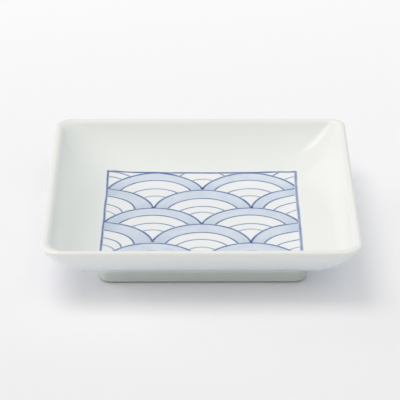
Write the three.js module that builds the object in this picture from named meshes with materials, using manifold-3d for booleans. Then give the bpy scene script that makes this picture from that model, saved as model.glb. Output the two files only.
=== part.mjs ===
// Small square porcelain dish on a square foot ring, with waves painted in cobalt on its floor.
// Millimetres, +Z up. The origin is under the middle of the dish, on the table that it stands on.
import * as THREE from 'three';
import { mergeVertices } from 'three/addons/utils/BufferGeometryUtils.js';
import Module from 'manifold-3d';

const wasm = await Module();
wasm.setup();

// Dish: a square of even thickness, whose walls rise in one round sweep from the floor to a half-round lip
const RIM_WIDTH = 105; // over the lip, side to side
const RIM_HEIGHT = 21; // crest of the lip above the table
const RIM_CORNER = 5.5; // plan radius of the lip's outer corners
const THICKNESS = 2.6; // of floor, walls and lip
const FLOOR_HEIGHT = 7.25; // top of the level middle of the floor above the table
const FLOOR_CORNER = 9; // plan radius of the inner corners where the walls start
const WALL_RADIUS = 24; // sweep of the inner walls, seen in section
const LEAN = 1.05; // the dish leans: its lip sits this far to the left of its sole

// Foot ring, seated on a low square land under the dish
const FOOT_REACH = 5.9; // from where the walls start out to the foot's outer face, at its seat
const FOOT_WALL = 3.2; // width of the sole, before its edges are broken
const FOOT_TAPER = 0.3; // each face leans this much over its height
const FOOT_EDGE = 0.4; // broken edge of the sole
const FOOT_CORNER = 4; // plan radius of the foot's outer corners
const FOOT_INNER_CORNER = 3;

// Painted panel: rows of overlapping waves inside a border line
const PANEL_WIDTH = 67; // between the middles of opposite border lines
const ROWS = 5;
const WAVES_ACROSS = 2;
const BORDER_LINE = 0.6;
const RING_LINES = [0.5, 0.45, 0.36, 0.3]; // line widths of a wave's arcs, from the outermost in
const RING_DROP = 5.7; // from the crown of one arc to the crown of the next
const RING_SHRINK = 3.95; // each arc's radius is smaller than the last one's by this
const PAINT_THICKNESS = 0.1;
const PAINT_SEAT = 0.05; // clearance under the paint
const PAINT_GAP = 0.12; // clearance between a wash and the lines round it

// Facets
const CORNER_STEPS = 6;
const INNER_WALL_STEPS = 10;
const OUTER_WALL_STEPS = 7;
const LIP_STEPS = 8;
const ARC_STEP = 2.6; // length of a facet along a painted arc
const LEAST_ARC_FACETS = 16; // in a full circle

const underside = FLOOR_HEIGHT - THICKNESS;
const lipRadius = THICKNESS / 2;
const lipCentre = new THREE.Vector2(RIM_WIDTH / 2 - lipRadius, RIM_HEIGHT - lipRadius);

// The walls' sweep touches the floor and the lip's round. Its angle is the wall's slope above level
const sweepHeight = FLOOR_HEIGHT + WALL_RADIUS;
const sweepToLip = WALL_RADIUS + lipRadius;
const wallSlope = Math.acos((sweepHeight - lipCentre.y) / sweepToLip);
const floorHalf = lipCentre.x - sweepToLip * Math.sin(wallSlope);
const footHalf = floorHalf + FOOT_REACH;
const footSlope = Math.asin(FOOT_REACH / (WALL_RADIUS + THICKNESS));

function leanAt(height) {
  return LEAN * (1 - height / lipCentre.y);
}

// A level ring in the form of a square with round corners. Seen from above it runs anticlockwise
function roundedSquare(half, corner, height) {
  const ring = [];
  const inset = half - corner;
  for (const [sideX, sideY, turn] of [[1, 1, 0], [-1, 1, 1], [-1, -1, 2], [1, -1, 3]]) {
    for (let step = 0; step <= CORNER_STEPS; step++) {
      const angle = (turn + step / CORNER_STEPS) * Math.PI / 2;
      const x = sideX * inset + corner * Math.cos(angle) + leanAt(height);
      const y = sideY * inset + corner * Math.sin(angle);
      ring.push(new THREE.Vector3(x, y, height));
    }
  }
  return ring;
}

// Joins rings into one closed skin: its two ends are capped, or the last ring joins the first
function loft(rings, endless = false) {
  const count = rings[0].length;
  const faces = [];
  const bands = endless ? rings.length : rings.length - 1;
  for (let band = 0; band < bands; band++) {
    const near = band * count;
    const far = ((band + 1) % rings.length) * count;
    for (let i = 0; i < count; i++) {
      const j = (i + 1) % count;
      faces.push(near + i, far + i, far + j, near + i, far + j, near + j);
    }
  }
  const last = (rings.length - 1) * count;
  for (let i = 1; i < count - 1 && !endless; i++) {
    faces.push(0, i, i + 1, last, last + i + 1, last + i);
  }
  const geometry = new THREE.BufferGeometry().setFromPoints(rings.flat());
  geometry.setIndex(faces);
  geometry.computeVertexNormals();
  return geometry;
}

function lipCorner(half) {
  return RIM_CORNER - (RIM_WIDTH / 2 - half);
}

// Rings up or down a wall, between two slopes, on its inner face or on one that lies outside it
function wallRings(fromSlope, toSlope, steps, outside = 0, lift = 0) {
  const topCorner = lipCorner(lipCentre.x - lipRadius * Math.sin(wallSlope));
  const rings = [];
  for (let step = 0; step <= steps; step++) {
    const slope = THREE.MathUtils.lerp(fromSlope, toSlope, step / steps);
    const radius = WALL_RADIUS + outside;
    const half = floorHalf + radius * Math.sin(slope);
    const innerCorner = THREE.MathUtils.mapLinear(slope, 0, wallSlope, FLOOR_CORNER, topCorner);
    const height = sweepHeight - radius * Math.cos(slope) + lift;
    rings.push(roundedSquare(half, innerCorner + outside * Math.sin(slope), height));
  }
  return rings;
}

// Rings over the lip, without its ends, which are the walls' own rings
function lipRings() {
  const rings = [];
  for (let step = 1; step < LIP_STEPS; step++) {
    const angle = wallSlope + Math.PI / 2 - Math.PI * step / LIP_STEPS;
    const half = lipCentre.x + lipRadius * Math.cos(angle);
    rings.push(roundedSquare(half, lipCorner(half), lipCentre.y + lipRadius * Math.sin(angle)));
  }
  return rings;
}

function dishBody() {
  const inner = wallRings(0, wallSlope, INNER_WALL_STEPS);
  const outer = wallRings(wallSlope, footSlope, OUTER_WALL_STEPS, THICKNESS);
  const land = roundedSquare(footHalf, FOOT_CORNER, underside);
  return loft([...inner, ...lipRings(), ...outer, land]);
}

function footRing() {
  const sole = footHalf - FOOT_TAPER;
  const inner = sole - FOOT_WALL;
  const section = [
    [inner - FOOT_TAPER, FOOT_INNER_CORNER, underside],
    [footHalf, FOOT_CORNER, underside],
    [sole, FOOT_CORNER, FOOT_EDGE],
    [sole - FOOT_EDGE, FOOT_CORNER, 0],
    [inner + FOOT_EDGE, FOOT_INNER_CORNER, 0],
    [inner, FOOT_INNER_CORNER, FOOT_EDGE],
  ];
  return loft(section.map(([half, corner, height]) => roundedSquare(half, corner, height)), true);
}

// Closed geometry to a solid that can be cut, and back
function solid(geometry) {
  const bare = geometry.clone();
  bare.deleteAttribute('normal');
  bare.deleteAttribute('uv');
  const merged = mergeVertices(bare);
  const vertProperties = new Float32Array(merged.attributes.position.array);
  const triVerts = new Uint32Array(merged.index.array);
  return new wasm.Manifold(new wasm.Mesh({ numProp: 3, vertProperties, triVerts }));
}

function skin(body) {
  const { vertProperties, triVerts } = body.getMesh();
  const geometry = new THREE.BufferGeometry();
  geometry.setAttribute('position', new THREE.BufferAttribute(vertProperties, 3));
  geometry.setIndex(new THREE.BufferAttribute(triVerts, 1));
  geometry.computeVertexNormals();
  return geometry;
}

// Upright prism of a plan outline, tall enough to pass through the whole dish
function prism(shape, segments) {
  const geometry = new THREE.ExtrudeGeometry(shape, {
    depth: RIM_HEIGHT,
    bevelEnabled: false,
    curveSegments: segments,
  });
  return solid(geometry);
}

// A disc, or a ring if it has an inner radius
function roundPrism(x, y, radius, innerRadius = 0) {
  const shape = new THREE.Shape().absarc(x, y, radius, 0, 2 * Math.PI, false);
  if (innerRadius > 0) {
    shape.holes.push(new THREE.Path().absarc(x, y, innerRadius, 0, 2 * Math.PI, true));
  }
  const facets = Math.max(LEAST_ARC_FACETS, 2 * Math.PI * radius / ARC_STEP);
  return prism(shape, Math.ceil(facets / 2)); // a round outline gets two facets per segment
}

function squarePrism(half) {
  const left = panelMiddle - half;
  const right = panelMiddle + half;
  const corners = [[left, -half], [right, -half], [right, half], [left, half]];
  return prism(new THREE.Shape(corners.map(([x, y]) => new THREE.Vector2(x, y))), 1);
}

// Thin sheet that follows the floor: everything painted is cut from it
function paintSheet() {
  const top = wallRings(0, wallSlope, INNER_WALL_STEPS, 0, PAINT_SEAT + PAINT_THICKNESS);
  const bottom = wallRings(0, wallSlope, INNER_WALL_STEPS, 0, PAINT_SEAT);
  return solid(loft([...top, ...bottom.reverse()]));
}

const panelMiddle = leanAt(FLOOR_HEIGHT);
const pitch = PANEL_WIDTH / WAVES_ACROSS;
const rowDrop = PANEL_WIDTH / ROWS;
// Neighbours in a row meet on the crown of the wave between them in the next row
const waveRadius = ((pitch / 2) ** 2 + rowDrop ** 2) / (2 * rowDrop);

// Centres of the waves in a row, counted from the back: even rows are shifted by half a wave
function waveCentres(row) {
  const shifted = row % 2 === 0;
  const count = WAVES_ACROSS + (shifted ? 1 : 0);
  const first = panelMiddle - (count - 1) / 2 * pitch;
  return Array.from({ length: count }, (_, i) => first + i * pitch);
}

// The lines and washes as they are painted: each nearer row covers part of the row behind it
function paintPanel() {
  const half = PANEL_WIDTH / 2;
  let lines = squarePrism(half + BORDER_LINE / 2).subtract(squarePrism(half - BORDER_LINE / 2));
  const frame = lines;
  const washes = [];
  for (let row = 0; row <= ROWS; row++) {
    const crown = half - (row - 1) * rowDrop;
    const centres = waveCentres(row);
    const names = centres.length > 2 ? ['left', 'middle', 'right'] : ['left', 'right'];
    const washReach = waveRadius + RING_LINES[0] / 2 + PAINT_GAP;
    centres.forEach((x) => {
      lines = lines.subtract(roundPrism(x, crown - waveRadius, waveRadius));
      washes.forEach((wash) => {
        wash.body = wash.body.subtract(roundPrism(x, crown - waveRadius, washReach));
      });
    });
    centres.forEach((x, i) => {
      RING_LINES.forEach((width, ring) => {
        const radius = waveRadius - ring * RING_SHRINK;
        const y = crown - ring * RING_DROP - radius;
        lines = lines.add(roundPrism(x, y, radius + width / 2, radius - width / 2));
      });
      const outer = waveRadius - RING_LINES[0] / 2 - PAINT_GAP;
      const second = waveRadius - RING_SHRINK;
      const clear = second + RING_LINES[1] / 2 + PAINT_GAP;
      const body = roundPrism(x, crown - waveRadius, outer)
        .subtract(roundPrism(x, crown - RING_DROP - second, clear));
      if (row > 0) washes.push({ name: `wash_row${row}_${names[i] ?? i + 1}`, body });
    });
  }
  const sheet = paintSheet();
  const inside = squarePrism(half - BORDER_LINE / 2 - PAINT_GAP).intersect(sheet);
  lines = lines.intersect(squarePrism(half)).add(frame).intersect(sheet);
  washes.forEach((wash) => {
    wash.body = wash.body.intersect(inside);
  });
  return { lines, washes };
}

const porcelain = new THREE.MeshStandardMaterial({ color: '#e6e8e3', roughness: 0.12, metalness: 0 });
const footPorcelain = new THREE.MeshStandardMaterial({ color: '#dcdcd4', roughness: 0.35, metalness: 0 });
const cobaltLine = new THREE.MeshStandardMaterial({ color: '#5f7db0', roughness: 0.12, metalness: 0 });
const cobaltWash = new THREE.MeshStandardMaterial({ color: '#ccd9eb', roughness: 0.12, metalness: 0 });

const plate = new THREE.Group();

function place(name, geometry, material) {
  const mesh = new THREE.Mesh(geometry, material);
  mesh.name = name;
  plate.add(mesh);
}

place('dish_body', dishBody(), porcelain);
place('foot_ring', footRing(), footPorcelain);
const panel = paintPanel();
place('cobalt_linework', skin(panel.lines), cobaltLine);
panel.washes.forEach((wash) => place(wash.name, skin(wash.body), cobaltWash));

export default plate;
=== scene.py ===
"""Small square porcelain dish on a square foot ring, with overlapping waves painted in cobalt on its floor.

Everything is in metres, +Z up. +X is to the right and +Y to the back of the dish as it is looked at.
"""
import math
from collections import namedtuple

import bmesh
import bpy
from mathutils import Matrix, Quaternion, Vector, noise


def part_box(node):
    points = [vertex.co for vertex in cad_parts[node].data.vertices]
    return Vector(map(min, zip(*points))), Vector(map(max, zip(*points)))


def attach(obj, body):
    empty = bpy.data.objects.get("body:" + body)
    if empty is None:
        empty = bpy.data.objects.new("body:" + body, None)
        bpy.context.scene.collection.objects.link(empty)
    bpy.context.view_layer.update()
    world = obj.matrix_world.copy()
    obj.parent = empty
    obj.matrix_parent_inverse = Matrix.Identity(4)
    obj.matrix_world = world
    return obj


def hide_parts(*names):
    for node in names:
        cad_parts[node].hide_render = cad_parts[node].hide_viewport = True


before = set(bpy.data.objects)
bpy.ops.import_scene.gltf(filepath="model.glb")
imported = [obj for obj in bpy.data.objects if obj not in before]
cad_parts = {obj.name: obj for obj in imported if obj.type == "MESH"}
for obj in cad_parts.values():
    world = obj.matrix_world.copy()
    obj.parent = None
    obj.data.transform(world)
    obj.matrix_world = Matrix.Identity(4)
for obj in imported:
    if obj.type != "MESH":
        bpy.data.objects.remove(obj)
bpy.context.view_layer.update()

MM = 0.001

# Dish: a square whose walls, nearly even in thickness, rise in one round sweep from floor to rounded lip
dish_low, dish_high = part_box("dish_body")
RIM_WIDTH = dish_high.y - dish_low.y
RIM_MIDDLE = (dish_low.x + dish_high.x) / 2
RIM_HEIGHT = dish_high.z
RIM_CORNER = 5.5 * MM
WELL_CORNER = 4 * MM  # corners of the well just under the lip, below which they open out
# The lip's corners aren't alike. Shares at the back left, back right, front left and front right
RIM_SHARES = (1.05, 1, 1.25, 1.15)
WELL_SHARES = (1.8, 1, 1.5, 1.2)
BELLY_CORNER = 6.8 * MM  # corners of the outer wall where it meets the foot
THICKNESS = 2.6 * MM
FLOOR_HEIGHT = 7.6 * MM
FLOOR_CORNER = 9 * MM
FLOOR_INSET = FLOOR_CORNER / 3  # a narrow band of faces along the floor's edge keeps its shading flat
WALL_RADIUS = 24 * MM
LIP_INNER = 2.2 * MM  # round of the lip towards the well; its outer edge is tighter
LEFT_TURN = 1 * MM  # the lip turns over this much further in along its left side
LEFT_REST = 0.6  # share of that by which the wall under it is thicker too
LEAN = 0.7 * MM  # the lip sits this far to the left of the sole
CORNER_EASE = 4  # how late the well's corners tighten towards the lip, as a power

# Foot ring under the dish
FOOT_REACH = 5.9 * MM
FOOT_WALL = 3.2 * MM
FOOT_TAPER = 0.3 * MM
FOOT_EDGE = 0.8 * MM
GLAZE_END = 0.6 * MM  # height of the glaze's lower edge over the sole
FOOT_CORNER = 4 * MM
FOOT_INNER_CORNER = 3 * MM
FOOT_FILLET = 3 * MM  # glaze and clay fill the corner between wall and foot
RECESS_FILLET = 0.9 * MM
SEAT_DEPTH = 0.3 * MM  # how far the foot's skin runs on into the dish, out of sight

# Painted panel
PANEL_WIDTH = 67 * MM
ROWS = 5
WAVES_ACROSS = 2
ARC_DROP = 5.65 * MM
ARC_SHARES = [1, 0.78, 0.61, 0.36]  # radii of a wave's arcs, from the outermost
TIGHT_SHARES = [1, 0.63, 0.37, 0.25]  # the same in the half waves along the left side
TIGHT_ROWS = (2, 4)
JOIN = 0.97  # share of a row's depth at which two waves beside each other meet

# Fineness of the meshes
CORNER_FACETS = 18
SIDE_CUTS = 13
OUTER_WALL_RINGS = 30
INNER_WALL_RINGS = 40
LIP_RINGS = 12
FILLET_RINGS = 8
EDGE_RINGS = 5
SMOOTH_ANGLE = math.radians(40)

UNDERSIDE = FLOOR_HEIGHT - THICKNESS
LIP_HALF = RIM_WIDTH / 2 - THICKNESS / 2
LIP_HEIGHT = RIM_HEIGHT - THICKNESS / 2

# The sweep of the walls touches the floor, and its middle would meet a half-round lip
SWEEP_HEIGHT = FLOOR_HEIGHT + WALL_RADIUS
MIDDLE_RADIUS = WALL_RADIUS + THICKNESS / 2
FLOOR_HALF = LIP_HALF - math.sqrt(MIDDLE_RADIUS**2 - (SWEEP_HEIGHT - LIP_HEIGHT) ** 2)
FOOT_HALF = FLOOR_HALF + FOOT_REACH
FOOT_SLOPE = math.asin(FOOT_REACH / (WALL_RADIUS + THICKNESS))

# The lip's two rounds meet at its crown, and each touches its face of the wall where that has a top slope
WALL_TOP = math.acos((SWEEP_HEIGHT - RIM_HEIGHT + LIP_INNER) / (WALL_RADIUS + LIP_INNER))
CROWN_HALF = FLOOR_HALF + (WALL_RADIUS + LIP_INNER) * math.sin(WALL_TOP)
LIP_OUTER = RIM_WIDTH / 2 - CROWN_HALF
OUTER_TOP = math.atan2(CROWN_HALF - FLOOR_HALF, SWEEP_HEIGHT - RIM_HEIGHT + LIP_OUTER)
TOP_THICKNESS = (CROWN_HALF - FLOOR_HALF) / math.sin(OUTER_TOP) + LIP_OUTER - WALL_RADIUS

# A level ring in the form of a square with round corners. Each corner can be wider or tighter by a share, and
# the ring's left side can lie further in
ALIKE = (1, 1, 1, 1)
Ring = namedtuple("Ring", "half corner height shares left", defaults=[ALIKE, 0])


def steps(count):
    """Shares from 0 to 1 in even steps, both ends included."""
    return [step / count for step in range(count + 1)]


def between(start, end, share):
    return start + (end - start) * share


def lean_at(height):
    """Middle of a level of the dish, which lies a little to the right of the lip."""
    return RIM_MIDDLE + LEAN * (1 - height / (RIM_HEIGHT - LIP_OUTER))


def lip_corner(half):
    return RIM_CORNER - (RIM_WIDTH / 2 - half)


def corner_shares(start, end, share):
    return [between(*pair, share) for pair in zip(start, end)]


def wall_ring(slope, outside, corner, shares, left=0):
    """Ring where the wall has a slope, on its inner face or on one that lies outside it."""
    radius = WALL_RADIUS + outside
    half = FLOOR_HALF + radius * math.sin(slope)
    return Ring(half, corner, SWEEP_HEIGHT - radius * math.cos(slope), shares, left)


def outer_ring(slope):
    """Ring of the outer wall, which thins a little towards the lip."""
    share = (slope - FOOT_SLOPE) / (OUTER_TOP - FOOT_SLOPE)
    top_corner = lip_corner(CROWN_HALF + LIP_OUTER * math.sin(OUTER_TOP))
    corner = between(BELLY_CORNER, top_corner, share)
    outside = between(THICKNESS, TOP_THICKNESS, share)
    return wall_ring(slope, outside, corner, corner_shares(ALIKE, RIM_SHARES, share))


def inner_ring(slope):
    share = (slope / WALL_TOP) ** CORNER_EASE
    corner = between(FLOOR_CORNER, WELL_CORNER, share)
    left = LEFT_TURN * LEFT_REST * share
    return wall_ring(slope, 0, corner, corner_shares(ALIKE, WELL_SHARES, share), left)


def outer_lip_ring(angle):
    half = CROWN_HALF + LIP_OUTER * math.cos(angle)
    height = RIM_HEIGHT - LIP_OUTER + LIP_OUTER * math.sin(angle)
    left = LEFT_TURN * (1 - math.cos(max(0, angle)))
    return Ring(half, lip_corner(half), height, RIM_SHARES, left)


def inner_lip_ring(slope):
    share = slope / WALL_TOP
    half = CROWN_HALF - LIP_INNER * math.sin(slope)
    height = RIM_HEIGHT - LIP_INNER + LIP_INNER * math.cos(slope)
    corner = between(lip_corner(CROWN_HALF), WELL_CORNER, share)
    left = LEFT_TURN * between(1, LEFT_REST, share)
    return Ring(half, corner, height, corner_shares(RIM_SHARES, WELL_SHARES, share), left)


def spread(ring, corner):
    """Half lengths of a ring's straight runs, and where its middle lies."""
    runs = Vector((ring.half - ring.left / 2 - corner, ring.half - corner))
    return runs, Vector((lean_at(ring.height) + ring.left / 2, 0))


def carried(place, old, new):
    """A point of one ring at the same place on another. Straight runs and corners scale by themselves."""
    in_front = place.y < 0
    to_right = place.x > lean_at(old.height) + old.left / 2
    nearest = 2 * in_front + to_right
    old_corner = old.corner * old.shares[nearest]
    new_corner = new.corner * new.shares[nearest]
    old_runs, old_middle = spread(old, old_corner)
    new_runs, new_middle = spread(new, new_corner)
    offset = place.xy - old_middle
    run = Vector([max(-limit, min(limit, part)) for part, limit in zip(offset, old_runs)])
    stretch = Vector((new_runs.x / old_runs.x, new_runs.y / old_runs.y))
    moved = new_middle + run * stretch + (offset - run) * (new_corner / old_corner)
    return Vector((moved.x, moved.y, new.height))


def select_edges(piece, wanted):
    """In edit mode, selects just the edges that a test picks."""
    bpy.ops.mesh.select_mode(type="EDGE")
    bpy.ops.mesh.select_all(action="DESELECT")
    mesh = bmesh.from_edit_mesh(piece.data)
    for edge in mesh.edges:
        edge.select_set(wanted(edge))
    bmesh.update_edit_mesh(piece.data)


def rounded_square(name, ring):
    """A flat face in the form of a ring, left in edit mode and selected."""
    bpy.ops.object.select_all(action="DESELECT")
    bpy.ops.mesh.primitive_plane_add(size=2 * ring.half, location=(lean_at(ring.height), 0, ring.height))
    piece = bpy.context.object
    piece.name = name
    piece.data.name = name
    bpy.ops.object.transform_apply(location=True, rotation=True, scale=True)
    bpy.ops.object.mode_set(mode="EDIT")
    bpy.ops.mesh.select_all(action="SELECT")
    bpy.ops.mesh.bevel(offset=ring.corner, segments=CORNER_FACETS, affect="VERTICES")
    select_edges(piece, lambda edge: edge.calc_length() > ring.half)
    bpy.ops.mesh.subdivide(number_cuts=SIDE_CUTS)
    bpy.ops.mesh.select_all(action="SELECT")
    return piece


def draw_on(piece, rings):
    """In edit mode, extrudes what is selected from each ring to the next."""
    for old, new in zip(rings, rings[1:]):
        bpy.ops.mesh.extrude_region()
        mesh = bmesh.from_edit_mesh(piece.data)
        for vert in mesh.verts:
            if vert.select:
                vert.co = carried(vert.co, old, new)
        bmesh.update_edit_mesh(piece.data)


def close_up(piece):
    """Turns the faces of a finished closed mesh outwards and leaves edit mode."""
    bpy.ops.mesh.select_all(action="SELECT")
    bpy.ops.mesh.normals_make_consistent(inside=False)
    bpy.ops.object.mode_set(mode="OBJECT")
    bpy.ops.object.shade_smooth_by_angle(angle=SMOOTH_ANGLE)
    return piece


def glazed_dish():
    """The dish, drawn as one skin from its underside up the outer walls, over the lip and to the floor."""
    rings = [Ring(FOOT_HALF, FOOT_CORNER, UNDERSIDE)]
    for share in steps(OUTER_WALL_RINGS):
        rings.append(outer_ring(between(FOOT_SLOPE, OUTER_TOP, share)))
    for share in steps(LIP_RINGS)[1:]:
        rings.append(outer_lip_ring(between(OUTER_TOP - math.pi / 2, math.pi / 2, share)))
    for share in steps(LIP_RINGS)[1:-1]:
        rings.append(inner_lip_ring(WALL_TOP * share))
    for share in steps(INNER_WALL_RINGS):
        rings.append(inner_ring(between(WALL_TOP, 0, share)))
    piece = rounded_square("glazed_dish", rings[0])
    draw_on(piece, rings)
    bpy.ops.mesh.inset(thickness=FLOOR_INSET)
    return close_up(piece)


def foot_section():
    """Rings of the foot: from its seat in the wall down its face, across the sole and up the recess."""
    sole = FOOT_HALF - FOOT_TAPER
    inner = sole - FOOT_WALL
    fillet_half = FOOT_HALF + FOOT_FILLET
    to_wall = WALL_RADIUS + THICKNESS + FOOT_FILLET
    fillet_height = SWEEP_HEIGHT - math.sqrt(to_wall**2 - (fillet_half - FLOOR_HALF) ** 2)
    touch = math.atan2(SWEEP_HEIGHT - fillet_height, FLOOR_HALF - fillet_half)
    wall_corner = outer_ring(touch - math.pi / 2).corner
    rings = []
    for share in steps(FILLET_RINGS):
        angle = between(touch, math.pi, share)
        half = fillet_half + FOOT_FILLET * math.cos(angle)
        height = fillet_height + FOOT_FILLET * math.sin(angle)
        rings.append(Ring(half, between(wall_corner, FOOT_CORNER, share), height))
    rings.insert(0, Ring(rings[0].half - SEAT_DEPTH, rings[0].corner, rings[0].height + SEAT_DEPTH))
    for share in steps(EDGE_RINGS):
        angle = -math.pi / 2 * share
        half = sole - FOOT_EDGE + FOOT_EDGE * math.cos(angle)
        rings.append(Ring(half, FOOT_CORNER, FOOT_EDGE + FOOT_EDGE * math.sin(angle)))
    for share in steps(EDGE_RINGS):
        angle = -math.pi / 2 - math.pi / 2 * share
        half = inner + FOOT_EDGE + FOOT_EDGE * math.cos(angle)
        rings.append(Ring(half, FOOT_INNER_CORNER, FOOT_EDGE + FOOT_EDGE * math.sin(angle)))
    for share in steps(FILLET_RINGS):
        angle = math.pi / 2 * share
        half = inner - FOOT_TAPER - RECESS_FILLET + RECESS_FILLET * math.cos(angle)
        height = UNDERSIDE - RECESS_FILLET + RECESS_FILLET * math.sin(angle)
        rings.append(Ring(half, FOOT_INNER_CORNER, height))
    rings.append(Ring(rings[-1].half, FOOT_INNER_CORNER, UNDERSIDE + SEAT_DEPTH))
    return rings


def glazed_foot():
    """The foot ring: one square ring drawn through its section, and its ends joined inside the dish."""
    rings = foot_section()
    piece = rounded_square("glazed_foot", rings[0])
    bpy.ops.mesh.delete(type="ONLY_FACE")
    bpy.ops.mesh.select_all(action="SELECT")
    draw_on(piece, rings)
    select_edges(piece, lambda edge: len(edge.link_faces) < 2)
    bpy.ops.mesh.bridge_edge_loops()
    return close_up(piece)


# Painted panel. The brush was guided by hand, so rows, waves, arcs and the border drift from an even layout
PANEL_HALF = PANEL_WIDTH / 2
PANEL_MIDDLE = lean_at(FLOOR_HEIGHT)
WAVE_PITCH = PANEL_WIDTH / WAVES_ACROSS
ROW_PITCH = PANEL_WIDTH / ROWS
ROW_DRIFT = [value * MM for value in (-0.2, -0.1, 0.2, -0.5, 0.5, -0.1, 0)]
WAVE_DRIFT = [
    [value * MM for value in row]
    for row in ((1.2, 0.3, 0.3), (0.4, 0.2), (-0.5, 0.3, 0.8), (-0.2, 0), (-0.2, -0.2, -0.1), (-0.1, -0.1))
]
EVEN = (0, 0, 0, 0)
ARC_DRIFT = [
    [(0, 0, -1.8, 0.4), (0, 0, -0.2, -0.6), (0, 0, 0, 0.2)],
    [(0, 0.5, -0.6, -0.7), (0, 0.5, -0.6, -0.6)],
    [(0.6, 0.5, -0.3, 0.1), (0, -0.9, -1.5, -0.3), (0.6, 1.1, 1.1, 0.7)],
    [(0, 0.2, -0.2, 0.4), (0, 0.2, -0.6, 0.9)],
    [(1, 0.6, 0.5, 1), (0, -0.4, 0, 0), (0.2, -0.2, -0.9, -0.6)],
    [EVEN, EVEN],
]
BORDER_BACK = [
    (-33.4, 33.6), (-30, 34.1), (-22, 33.8), (-10, 33.5), (3, 33.4), (16, 33.5), (27, 33.9), (34.2, 33.1),
]
BORDER_LEFT = [(33.7, -33.1), (20, -33.0), (0, -33.3), (-15, -33.5), (-33.5, -33.8)]
BORDER_RIGHT = [(33.2, 34.2), (15, 33.9), (0, 34.0), (-20, 34.0), (-33.5, 33.7)]
BORDER_FRONT = [(-33.8, -33.5), (-12, -33.7), (10, -33.4), (33.7, -33.5)]

# Brush lines, from the border and the outermost arc of a wave to its innermost
BORDER_LINES = [1 * MM, 0.98 * MM, 1.2 * MM, 1 * MM]  # back, left, right, front
BORDER_INKS = [0.92, 0.8, 0.64, 0.9]
ARC_LINES = [1.08 * MM, 0.92 * MM, 0.82 * MM, 0.74 * MM]
ARC_INKS = [0.88, 0.84, 0.7, 0.6]
LINE_STEP = 0.55 * MM
PRESSURE = 0.16  # share by which the brush's width comes and goes
PRESSURE_LENGTH = 5 * MM
WANDER = 0.1 * MM
WANDER_LENGTH = 9 * MM
WANDER_LEVEL = 2  # level of the noise that the wander follows, apart from the pressure's
POOL = 0.2  # share by which a line is wider where the brush stopped
POOL_REACH = 0.7 * MM

# Films of paint under the glaze
FILM = 0.05 * MM
WASH_LIFT = 0.02 * MM
LINE_LIFT = 0.03 * MM
LIFT_STEP = 0.002 * MM
WASH_CUTS = 7
WASH_POOL_REACH = 5 * MM
ARC_SAMPLES = 240
ARC_OVERRUN = math.radians(25)  # how far an arc may go on past a half circle
HALVINGS = 20  # steps in finding where an arc goes out of sight
FEWEST_STEPS = 3  # in the shortest stretch of an arc

# A wave's arcs, from the outermost, each have the height of their crown and a radius
Wave = namedtuple("Wave", "row place x crowns radii")


def crown_of(row):
    return PANEL_HALF - (row - 1) * ROW_PITCH + ROW_DRIFT[row]


def panel_waves():
    """The waves in the order they are painted. Each row lies over the row behind it."""
    made = []
    for row in range(ROWS + 1):
        count = WAVES_ACROSS + (1 if row % 2 == 0 else 0)
        places = ("left", "middle", "right") if count > 2 else ("left", "right")
        drop = JOIN * (crown_of(row) - crown_of(row + 1))
        radius = ((WAVE_PITCH / 2) ** 2 + drop**2) / (2 * drop)
        for index, place in enumerate(places):
            x = PANEL_MIDDLE + (index - (count - 1) / 2) * WAVE_PITCH + WAVE_DRIFT[row][index]
            drifts = ARC_DRIFT[row][index]
            crowns = [crown_of(row) - ARC_DROP * arc + drift * MM for arc, drift in enumerate(drifts)]
            shares = TIGHT_SHARES if place == "left" and row in TIGHT_ROWS else ARC_SHARES
            made.append(Wave(row, place, x, crowns, [radius * share for share in shares]))
    return made


WAVES = panel_waves()


def along(points, place):
    """Height of a hand-set line over a place on it, in a smooth run through its points."""
    for (start, low), (end, high) in zip(points, points[1:]):
        share = (place / MM - start) / (end - start)
        if 0 <= share <= 1:
            return between(low, high, share * share * (3 - 2 * share)) * MM
    nearest = min(points, key=lambda point: abs(point[0] - place / MM))
    return nearest[1] * MM


def covers(wave, x, y):
    return math.hypot(x - wave.x, y - wave.crowns[0] + wave.radii[0]) < wave.radii[0]


def hidden(wave, x, y):
    """Whether a point of a wave lies outside the border or under a wave that is painted over it."""
    slack = BORDER_LINES[0] if wave.row == 1 else 0
    if not along(BORDER_FRONT, x) < y < along(BORDER_BACK, x) + slack:
        return True
    if not along(BORDER_LEFT, y) < x < along(BORDER_RIGHT, y):
        return True
    return any(covers(other, x, y) for other in WAVES if other.row >= wave.row and other != wave)


def arc_point(wave, arc, angle):
    radius = wave.radii[arc]
    return wave.x + radius * math.cos(angle), wave.crowns[arc] - radius + radius * math.sin(angle)


def edge_angle(wave, arc, seen, unseen):
    """The angle at which an arc goes out of sight, between one that is seen and one that isn't."""
    for _ in range(HALVINGS):
        middle = (seen + unseen) / 2
        if hidden(wave, *arc_point(wave, arc, middle)):
            unseen = middle
        else:
            seen = middle
    return seen


def seen_runs(wave, arc):
    """The stretches of an arc that show, from left to right, each as a pair of angles."""
    angles = [between(math.pi + ARC_OVERRUN, -ARC_OVERRUN, share) for share in steps(ARC_SAMPLES)]
    shown = [not hidden(wave, *arc_point(wave, arc, angle)) for angle in angles]
    runs = []
    for index in range(1, len(angles)):
        if shown[index] and not shown[index - 1]:
            runs.append([edge_angle(wave, arc, angles[index], angles[index - 1])])
        elif shown[index - 1] and not shown[index]:
            runs[-1].append(edge_angle(wave, arc, angles[index - 1], angles[index]))
    return runs


def arc_points(wave, arc, run, count):
    return [arc_point(wave, arc, between(*run, share)) for share in steps(count)]


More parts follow.
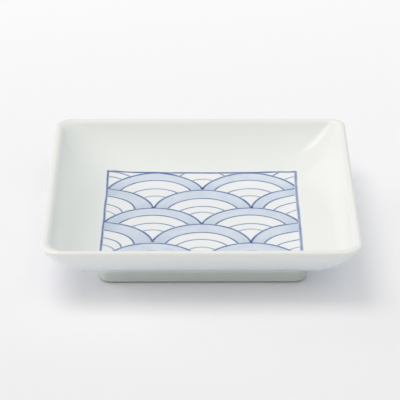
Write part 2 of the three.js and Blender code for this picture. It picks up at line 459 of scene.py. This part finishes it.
def film_between(name, one_side, other_side, cuts=0):
    """A flat sheet between two rows of points, left above the dish."""
    count = len(one_side)
    points = [(x, y, RIM_HEIGHT) for x, y in one_side + other_side]
    edges = [(index, index + 1) for index in range(count - 1)]
    mesh = bpy.data.meshes.new(name)
    mesh.from_pydata(points, edges + [(first + count, last + count) for first, last in edges], [])
    piece = bpy.data.objects.new(name, mesh)
    bpy.context.collection.objects.link(piece)
    bpy.ops.object.select_all(action="DESELECT")
    piece.select_set(True)
    bpy.context.view_layer.objects.active = piece
    bpy.ops.object.mode_set(mode="EDIT")
    bpy.ops.mesh.select_all(action="SELECT")
    bpy.ops.mesh.bridge_edge_loops(number_cuts=cuts, interpolation="LINEAR")
    mesh = bmesh.from_edit_mesh(piece.data)
    for face in mesh.faces:
        face.select_set(face.normal.z < 0)
    bmesh.update_edit_mesh(piece.data)
    bpy.ops.mesh.flip_normals()
    bpy.ops.object.mode_set(mode="OBJECT")
    return piece


def give(piece, name, kind, values):
    """Stores a value for each point of a mesh, for its material to read."""
    layer = piece.data.attributes.new(name, kind, "POINT")
    key = "vector" if kind == "FLOAT_VECTOR" else "value"
    flat = [number for value in values for number in value] if kind == "FLOAT_VECTOR" else values
    layer.data.foreach_set(key, flat)


def brush_line(name, points, width, ink, seed):
    """One stroke of the brush: it wanders a little, its width follows the pressure, and it pools at its ends.

    The stroke's two edges are told apart, so that the paint can thin towards them.
    """
    total = sum(math.dist(*pair) for pair in zip(points, points[1:]))
    left, right, inks = [], [], []
    done = 0
    for index, (x, y) in enumerate(points):
        before = points[max(index - 1, 0)]
        after = points[min(index + 1, len(points) - 1)]
        length = math.dist(before, after)
        normal = ((before[1] - after[1]) / length, (after[0] - before[0]) / length)
        done += math.dist(before, (x, y))
        press = noise.noise(Vector((done / PRESSURE_LENGTH, seed, 0)))
        stray = WANDER * noise.noise(Vector((done / WANDER_LENGTH, seed, WANDER_LEVEL)))
        pooled = math.exp(-((min(done, total - done) / POOL_REACH) ** 2))
        half = width / 2 * (1 + PRESSURE * press + POOL * pooled)
        left.append((x + normal[0] * (stray + half), y + normal[1] * (stray + half)))
        right.append((x + normal[0] * (stray - half), y + normal[1] * (stray - half)))
        inks.append(ink * (1 + PRESSURE * press) + POOL * pooled)
    piece = film_between(name, left, right)
    give(piece, "ink", "FLOAT", inks + inks)
    give(piece, "edge", "FLOAT", [1] * len(left) + [-1] * len(right))
    return piece


def apply_modifier(piece, kind, **settings):
    modifier = piece.modifiers.new(kind.lower(), kind)
    for name, value in settings.items():
        setattr(modifier, name, value)
    bpy.ops.object.select_all(action="DESELECT")
    piece.select_set(True)
    bpy.context.view_layer.objects.active = piece
    bpy.ops.object.modifier_apply(modifier=modifier.name)


def lay_down(piece, dish, lift):
    """Drapes a flat sheet over the floor of the dish."""
    apply_modifier(
        piece, "SHRINKWRAP", target=dish, wrap_method="PROJECT", use_project_z=True,
        use_positive_direction=False, use_negative_direction=True, offset=lift,
    )


def thicken(piece):
    apply_modifier(piece, "SOLIDIFY", thickness=FILM, offset=-1)
    bpy.ops.object.shade_smooth_by_angle(angle=SMOOTH_ANGLE)
    return piece


def join(name, pieces):
    bpy.ops.object.select_all(action="DESELECT")
    for piece in pieces:
        piece.select_set(True)
    bpy.context.view_layer.objects.active = pieces[0]
    bpy.ops.object.join()
    pieces[0].name = name
    pieces[0].data.name = name
    return pieces[0]


def border_points(points, across):
    """Points close together along one side of the border."""
    start, end = points[0][0] * MM, points[-1][0] * MM
    count = round(abs(end - start) / LINE_STEP)
    places = [between(start, end, share) for share in steps(count)]
    return [(along(points, place), place) if across else (place, along(points, place)) for place in places]


def painted_lines(dish):
    """All the brush lines: the border's four sides, and whatever shows of each wave's arcs."""
    upright = [(points[::-1], True) for points in (BORDER_LEFT, BORDER_RIGHT)]
    sides = [(BORDER_BACK, False), *upright, (BORDER_FRONT, False)]
    strokes = []
    for side, (points, across) in enumerate(sides):
        line = border_points(points, across)
        strokes.append(brush_line("side", line, BORDER_LINES[side], BORDER_INKS[side], side))
        lay_down(strokes[-1], dish, LINE_LIFT)
    for arc, width in enumerate(ARC_LINES):
        for wave in WAVES:
            for run in seen_runs(wave, arc):
                count = max(FEWEST_STEPS, round(abs(run[1] - run[0]) * wave.radii[arc] / LINE_STEP))
                points = arc_points(wave, arc, run, count)
                strokes.append(brush_line("arc", points, width, ARC_INKS[arc], len(strokes)))
                lay_down(strokes[-1], dish, LINE_LIFT - LIFT_STEP * (arc + 1))
    return thicken(join("brushed_lines", strokes))


def painted_wash(dish, wave):
    """The pale wash between a wave's two outermost arcs."""
    outer, inner = seen_runs(wave, 0)[0], seen_runs(wave, 1)[0]
    length = abs(outer[1] - outer[0]) * wave.radii[0]
    count = round(length / LINE_STEP)
    name = f"brushed_wash_row{wave.row}_{wave.place}"
    outer_points = arc_points(wave, 0, outer, count)
    piece = film_between(name, outer_points, arc_points(wave, 1, inner, count), WASH_CUTS)
    lay_down(piece, dish, WASH_LIFT)
    middle = Vector((wave.x, wave.crowns[0] - wave.radii[0], 0))
    sweeps, pools = [], []
    for vert in piece.data.vertices:
        arm = vert.co - middle
        angle = math.atan2(arm.y, arm.x)
        from_end = min(abs(angle - outer[0]), abs(angle - outer[1])) * wave.radii[0]
        sweeps.append((angle * wave.radii[0], arm.xy.length, wave.row + wave.x / WAVE_PITCH))
        pools.append(math.exp(-((from_end / WASH_POOL_REACH) ** 2)))
    give(piece, "sweep", "FLOAT_VECTOR", sweeps)
    give(piece, "pool", "FLOAT", pools)
    return thicken(piece)


# Materials. Lengths are sizes of grains, streaks and bumps. Pairs are values between which a colour changes
MIX_A, MIX_B, MIX_OUT = 6, 7, 2  # numbers of a colour mix node's sockets
NOISE_MEAN = 0.5
GLAZE_ROUGHNESS = 0.15
GLAZE_IOR = 1.4
BODY_CLOUD = 14 * MM
# Painted light: the glaze on the floor of the well is painted a little lighter
LIT_WELL_LEVELS = (8.8 * MM, 7.7 * MM)
# Painted shade: faces turned down are painted darker and bluer
DOWN_FACING_SHADE = (-0.4, -0.75)  # how far a face is turned down
# Pooled glaze, and painted shade: towards the foot the glaze is painted a darker green
POOL_AND_SHADE_LEVELS = (5.5 * MM, 3 * MM)
LIP_LEVELS = (18.3 * MM, 20.7 * MM)
ROLL = 9 * MM
ROLL_DEPTH = 0.02 * MM
ROLL_STRENGTH = 0.3
GRIT = 0.35 * MM  # coarser than the real grit, which is too fine to show
GRIT_DEPTH = 0.03 * MM
GRIT_STRENGTH = 0.5
# The sole's round edge is darkened by wear and by painted shade where the foot meets the floor
SOLE_WEAR_AND_SHADE_LEVELS = (0.02 * MM, 0.2 * MM)
SOLE_ROUGHNESS = 0.65
LINE_GRAIN = 1.6 * MM
LINE_GRAIN_SHARE = 0.4
LINE_BLEED = (1, 0.35)  # shares of a line's half width, from its edge inwards
STREAK_LENGTH = 14 * MM
STREAK_WIDTH = 0.7 * MM
WASH_CLOUD = 5 * MM
WASH_GRAIN = 0.7 * MM
WASH_GRAIN_SHARE = 0.8
WASH_POOL_SHARE = 0.6
WASH_DEPTHS = (0.9, 2)
PAPER_ROUGHNESS = 0.9
PAPER_SHINE = 0.1


def linear(code):
    """An sRGB hex colour as linear red, green, blue and alpha."""
    shares = [int(code[index:index + 2], 16) / 255 for index in (1, 3, 5)]
    return [x / 12.92 if x <= 0.04045 else ((x + 0.055) / 1.055) ** 2.4 for x in shares] + [1]


def new_material(name):
    material = bpy.data.materials.new(name)
    material.use_nodes = True
    material.node_tree.nodes.clear()
    return material


def add(tree, kind, inputs=(), **settings):
    """Adds a node with its settings. Each input is set to a value, or linked from another node's output."""
    made = tree.nodes.new(kind)
    for name, value in settings.items():
        setattr(made, name, value)
    for key, value in dict(inputs).items():
        if isinstance(value, bpy.types.NodeSocket):
            tree.links.new(value, made.inputs[key])
        else:
            made.inputs[key].default_value = value
    return made


def clear_glaze():
    """White porcelain under a clear glaze, fired glossy.

    The glaze is faintly green. It is painted a little lighter on the well's floor, as painted light, and
    darker and bluer where the walls' outside turns down, as painted shade with a cool cast. It is greener
    where it pooled on the foot and painted darker there, as the shade under the dish, and thins to a cream
    colour on the lip.
    Its surface rolls a little, so reflections aren't quite straight.
    """
    material = new_material("porcelain_clear_glaze")
    tree = material.node_tree
    place = add(tree, "ShaderNodeTexCoord").outputs["Object"]
    height = add(tree, "ShaderNodeSeparateXYZ", {0: place}).outputs["Z"]
    facing = add(tree, "ShaderNodeNewGeometry").outputs["Normal"]
    upward = add(tree, "ShaderNodeSeparateXYZ", {0: facing}).outputs["Z"]
    cloud = add(tree, "ShaderNodeTexNoise", {
        "Vector": place, "Scale": 1 / BODY_CLOUD, "Detail": 2,
    }).outputs[0]
    colour = add(tree, "ShaderNodeMix", {
        "Factor": cloud, MIX_A: linear("#e9ece8"), MIX_B: linear("#ebeeea"),
    }, data_type="RGBA").outputs[MIX_OUT]
    tints = [
        # painted light: the well's floor a little lighter
        (height, LIT_WELL_LEVELS, "#eef1f0"),
        # painted shade with a cool cast on faces turned down
        (upward, DOWN_FACING_SHADE, "#e4ebf0"),
        # greener pooled glaze, painted darker as the shade under the dish
        (height, POOL_AND_SHADE_LEVELS, "#d0dad2"),
        (height, LIP_LEVELS, "#ecede9"),
    ]
    for measure, (start, end), tint in tints:
        share = add(tree, "ShaderNodeMapRange", {
            "Value": measure, "From Min": start, "From Max": end,
        }, interpolation_type="SMOOTHSTEP").outputs[0]
        colour = add(tree, "ShaderNodeMix", {
            "Factor": share, MIX_A: colour, MIX_B: linear(tint),
        }, data_type="RGBA").outputs[MIX_OUT]
    roll = add(tree, "ShaderNodeTexNoise", {
        "Vector": place, "Scale": 1 / ROLL, "Detail": 1,
    }).outputs[0]
    bump = add(tree, "ShaderNodeBump", {
        "Height": roll, "Strength": ROLL_STRENGTH, "Distance": ROLL_DEPTH,
    }).outputs[0]
    shader = add(tree, "ShaderNodeBsdfPrincipled", {
        "Base Color": colour, "Roughness": GLAZE_ROUGHNESS, "IOR": GLAZE_IOR, "Normal": bump,
    })
    add(tree, "ShaderNodeOutputMaterial", {"Surface": shader.outputs[0]})
    return material


def bare_porcelain():
    """Unglazed porcelain on the sole, ground flat after firing: matte, a little warmer, with a fine grit.

    Its round edge, where the glaze stops, has darkened with use, and is painted darker still as painted
    shade, standing in for the shadow where the foot meets the floor.
    """
    material = new_material("porcelain_bare_sole")
    tree = material.node_tree
    place = add(tree, "ShaderNodeTexCoord").outputs["Object"]
    height = add(tree, "ShaderNodeSeparateXYZ", {0: place}).outputs["Z"]
    grit = add(tree, "ShaderNodeTexNoise", {
        "Vector": place, "Scale": 1 / GRIT, "Detail": 3,
    }).outputs[0]
    flat = add(tree, "ShaderNodeMix", {
        "Factor": grit, MIX_A: linear("#d5d2c8"), MIX_B: linear("#e4e2da"),
    }, data_type="RGBA").outputs[MIX_OUT]
    # the round edge is painted dark: wear, and painted contact shadow
    start, end = SOLE_WEAR_AND_SHADE_LEVELS
    edge = add(tree, "ShaderNodeMapRange", {
        "Value": height, "From Min": start, "From Max": end,
    }, interpolation_type="SMOOTHSTEP").outputs[0]
    colour = add(tree, "ShaderNodeMix", {
        "Factor": edge, MIX_A: flat, MIX_B: linear("#7f7a70"),
    }, data_type="RGBA").outputs[MIX_OUT]
    bump = add(tree, "ShaderNodeBump", {
        "Height": grit, "Strength": GRIT_STRENGTH, "Distance": GRIT_DEPTH,
    }).outputs[0]
    shader = add(tree, "ShaderNodeBsdfPrincipled", {
        "Base Color": colour, "Roughness": SOLE_ROUGHNESS, "IOR": GLAZE_IOR, "Normal": bump,
    })
    add(tree, "ShaderNodeOutputMaterial", {"Surface": shader.outputs[0]})
    return material


def cobalt_line():
    """Cobalt drawn with a fine brush under the glaze: deep blue where the paint is thick.

    It is paler where the paint ran thin and where it has bled into the glaze along its edges.
    """
    material = new_material("cobalt_brush_line")
    tree = material.node_tree
    place = add(tree, "ShaderNodeTexCoord").outputs["Object"]
    ink = add(tree, "ShaderNodeAttribute", attribute_name="ink").outputs["Fac"]
    grain = add(tree, "ShaderNodeTexNoise", {
        "Vector": place, "Scale": 1 / LINE_GRAIN, "Detail": 3,
    }).outputs[0]
    uneven = add(tree, "ShaderNodeMath", {0: grain, 1: NOISE_MEAN}, operation="SUBTRACT").outputs[0]
    depth = add(tree, "ShaderNodeMath", {
        0: uneven, 1: LINE_GRAIN_SHARE, 2: ink,
    }, operation="MULTIPLY_ADD").outputs[0]
    side = add(tree, "ShaderNodeAttribute", attribute_name="edge").outputs["Fac"]
    aside = add(tree, "ShaderNodeMath", {0: side}, operation="ABSOLUTE").outputs[0]
    start, end = LINE_BLEED
    core = add(tree, "ShaderNodeMapRange", {
        "Value": aside, "From Min": start, "From Max": end,
    }, interpolation_type="SMOOTHSTEP").outputs[0]
    bled = add(tree, "ShaderNodeMath", {0: depth, 1: core}, operation="MULTIPLY").outputs[0]
    colour = add(tree, "ShaderNodeMix", {
        "Factor": bled, MIX_A: linear("#d3dde8"), MIX_B: linear("#46609a"),
    }, data_type="RGBA").outputs[MIX_OUT]
    shader = add(tree, "ShaderNodeBsdfPrincipled", {
        "Base Color": colour, "Roughness": GLAZE_ROUGHNESS, "IOR": GLAZE_IOR,
    })
    add(tree, "ShaderNodeOutputMaterial", {"Surface": shader.outputs[0]})
    return material


def cobalt_wash():
    """Thinned cobalt laid on with a broad brush under the glaze: pale, streaked along the stroke, clouded."""
    material = new_material("cobalt_wash")
    tree = material.node_tree
    place = add(tree, "ShaderNodeTexCoord").outputs["Object"]
    sweep = add(tree, "ShaderNodeAttribute", attribute_name="sweep").outputs["Vector"]
    stretched = add(tree, "ShaderNodeMapping", {
        "Vector": sweep, "Scale": (1 / STREAK_LENGTH, 1 / STREAK_WIDTH, 1),
    }).outputs[0]
    streak = add(tree, "ShaderNodeTexNoise", {
        "Vector": stretched, "Scale": 1, "Detail": 3,
    }).outputs[0]
    cloud = add(tree, "ShaderNodeTexNoise", {
        "Vector": place, "Scale": 1 / WASH_CLOUD, "Detail": 2,
    }).outputs[0]
    grain = add(tree, "ShaderNodeTexNoise", {
        "Vector": place, "Scale": 1 / WASH_GRAIN, "Detail": 2,
    }).outputs[0]
    pool = add(tree, "ShaderNodeAttribute", attribute_name="pool").outputs["Fac"]
    depth = add(tree, "ShaderNodeMath", {0: streak, 1: cloud}, operation="ADD").outputs[0]
    for part, weight in ((grain, WASH_GRAIN_SHARE), (pool, WASH_POOL_SHARE)):
        depth = add(tree, "ShaderNodeMath", {
            0: part, 1: weight, 2: depth,
        }, operation="MULTIPLY_ADD").outputs[0]
    start, end = WASH_DEPTHS
    share = add(tree, "ShaderNodeMapRange", {"Value": depth, "From Min": start, "From Max": end}).outputs[0]
    colour = add(tree, "ShaderNodeMix", {
        "Factor": share, MIX_A: linear("#dfe7ee"), MIX_B: linear("#c4d1e1"),
    }, data_type="RGBA").outputs[MIX_OUT]
    shader = add(tree, "ShaderNodeBsdfPrincipled", {
        "Base Color": colour, "Roughness": GLAZE_ROUGHNESS, "IOR": GLAZE_IOR,
    })
    add(tree, "ShaderNodeOutputMaterial", {"Surface": shader.outputs[0]})
    return material


def pale_paper():
    """The matte pale sheet that the dish stands on, painted paler and cooler towards the back as painted
    light, for the light that falls off towards the front.
    """
    material = new_material("pale_paper")
    tree = material.node_tree
    place = add(tree, "ShaderNodeTexCoord").outputs["Object"]
    depth = add(tree, "ShaderNodeSeparateXYZ", {0: place}).outputs["Y"]
    # Painted light: the paper grows paler towards the back, for the light's falloff
    share = add(tree, "ShaderNodeMapRange", {
        "Value": depth, "From Min": FLOOR_NEAR, "From Max": FLOOR_FAR,
    }).outputs[0]
    colour = add(tree, "ShaderNodeMix", {
        "Factor": share, MIX_A: linear("#ededee"), MIX_B: linear("#fafafb"),
    }, data_type="RGBA").outputs[MIX_OUT]
    shader = add(tree, "ShaderNodeBsdfPrincipled", {
        "Base Color": colour, "Roughness": PAPER_ROUGHNESS, "Specular IOR Level": PAPER_SHINE,
    })
    add(tree, "ShaderNodeOutputMaterial", {"Surface": shader.outputs[0]})
    return material


def place_piece(piece, slot, *nodes):
    """The piece stands for its solids and rides with the dish."""
    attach(piece, "root")
    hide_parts(*nodes)


def bare_the_sole(foot, bare):
    """Gives the foot its own finish below the glaze's lower edge."""
    foot.data.materials.append(bare)
    for face in foot.data.polygons:
        if face.center.z < GLAZE_END:
            face.material_index = 1


def build_plate():
    glaze = clear_glaze()
    dish = glazed_dish()
    dish.data.materials.append(glaze)
    foot = glazed_foot()
    foot.data.materials.append(glaze)
    bare_the_sole(foot, bare_porcelain())
    lines = painted_lines(dish)
    lines.data.materials.append(cobalt_line())
    wash_paint = cobalt_wash()
    for wave in WAVES:
        if wave.row > 0:
            wash = painted_wash(dish, wave)
            wash.data.materials.append(wash_paint)
            place_piece(wash, "cobalt_wash", f"wash_row{wave.row}_{wave.place}")
    place_piece(dish, "porcelain", "dish_body")
    place_piece(foot, "foot_porcelain", "foot_ring")
    place_piece(lines, "cobalt_line", "cobalt_linework")


# Studio
CAMERA_TARGET = Vector((-0.2, 0, 13.85)) * MM
CAMERA_DISTANCE = 788 * MM
CAMERA_ELEVATION = math.radians(26.45)
CAMERA_YAW = math.radians(-0.22)
SENSOR = 36
IMAGE_WIDTH = 400
FOCAL_PIXELS = 2284

FLOOR_SIZE = 8
# The paper's paleness from front to back is painted light, standing in for the light's falloff
FLOOR_NEAR = -0.11  # the paper grows paler from here, in front of the dish
FLOOR_FAR = 0.22  # to here, behind it

# Softboxes all stand at one distance and face the dish. Bearing, rise and turn are in degrees, and light is
# the share of full daylight that each gives at the dish. A fill without shadow reaches everywhere, one that
# shines is mirrored in the glaze, and one that doesn't light is seen only there
LAMP_FIELDS = "name bearing rise width height light colour shadow shine turn lights"
Softbox = namedtuple("Softbox", LAMP_FIELDS, defaults=[0, True])
SOFTBOX_DISTANCE = 4
SOFTBOXES = [
    Softbox("left_key", 180, 72, 2.2, 2.2, 0.285, (1.01, 1, 1.02), True, False),
    Softbox("left_window", 200, 65, 1.1, 3, 0.23, (1, 1, 0.97), True, True, 51, False),
    Softbox("low_left", 158, 16, 2.2, 2, 0.235, (1, 1, 1), True, False),
    Softbox("right_fill", 0, 54, 3.2, 3.2, 0.095, (0.82, 1, 1.15), True, False),
    Softbox("front_fill", 270, 60, 3.2, 3.2, 0.168, (1.15, 1, 0.75), True, False),
    Softbox("low_fill", 202, 16, 2.2, 2, 0.15, (1.18, 1, 1.02), False, False),
    Softbox("front_right_fill", 315, 36, 3.6, 3.6, 0.07, (0.75, 1, 1), True, False),
    Softbox("overhead_fill", 0, 90, 3.2, 3.2, 0.042, (1.2, 1, 1.1), False, False),
]
ROOM_LIGHT = 0.42
ROOM_COLOUR = (0.98, 1, 1.03, 1)


def studio_floor():
    bpy.ops.object.select_all(action="DESELECT")
    bpy.ops.mesh.primitive_plane_add(size=FLOOR_SIZE)
    floor = bpy.context.object
    floor.name = "studio_floor"
    floor.data.materials.append(pale_paper())


def softbox(box):
    """A flat lamp that faces the dish."""
    bearing, rise = math.radians(box.bearing), math.radians(box.rise)
    away = Vector((math.cos(bearing) * math.cos(rise), math.sin(bearing) * math.cos(rise), math.sin(rise)))
    lamp = bpy.data.lights.new(box.name, "AREA")
    lamp.shape = "RECTANGLE"
    lamp.size = box.width
    lamp.size_y = box.height
    lamp.energy = box.light * (math.pi * SOFTBOX_DISTANCE) ** 2
    lamp.color = box.colour
    lamp.use_shadow = box.shadow
    lamp.cycles.use_multiple_importance_sampling = box.shadow
    holder = bpy.data.objects.new(box.name, lamp)
    holder.visible_glossy = box.shine
    holder.visible_diffuse = box.lights
    holder.location = away * SOFTBOX_DISTANCE
    facing = (-away).to_track_quat("-Z", "Y") @ Quaternion((0, 0, 1), math.radians(box.turn))
    holder.rotation_euler = facing.to_euler()
    bpy.context.collection.objects.link(holder)


def white_room():
    """Even light from all round."""
    world = bpy.data.worlds.new("white_room")
    world.use_nodes = True
    tree = world.node_tree
    tree.nodes.clear()
    glow = add(tree, "ShaderNodeBackground", {"Color": ROOM_COLOUR, "Strength": ROOM_LIGHT})
    add(tree, "ShaderNodeOutputWorld", {"Surface": glow.outputs[0]})
    bpy.context.scene.world = world


def camera():
    """Looks down at the dish from the front, from far off."""
    level = math.cos(CAMERA_ELEVATION)
    back = Vector((math.sin(CAMERA_YAW) * level, -math.cos(CAMERA_YAW) * level, math.sin(CAMERA_ELEVATION)))
    data = bpy.data.cameras.new("camera")
    data.sensor_width = SENSOR
    data.lens = SENSOR * FOCAL_PIXELS / IMAGE_WIDTH
    data.clip_end = 2 * FLOOR_SIZE
    holder = bpy.data.objects.new("camera", data)
    holder.location = CAMERA_TARGET + back * CAMERA_DISTANCE
    holder.rotation_euler = (-back).to_track_quat("-Z", "Y").to_euler()
    bpy.context.collection.objects.link(holder)
    bpy.context.scene.camera = holder


build_plate()
studio_floor()
for box in SOFTBOXES:
    softbox(box)
white_room()
camera()
bpy.context.scene.view_settings.view_transform = "Standard"
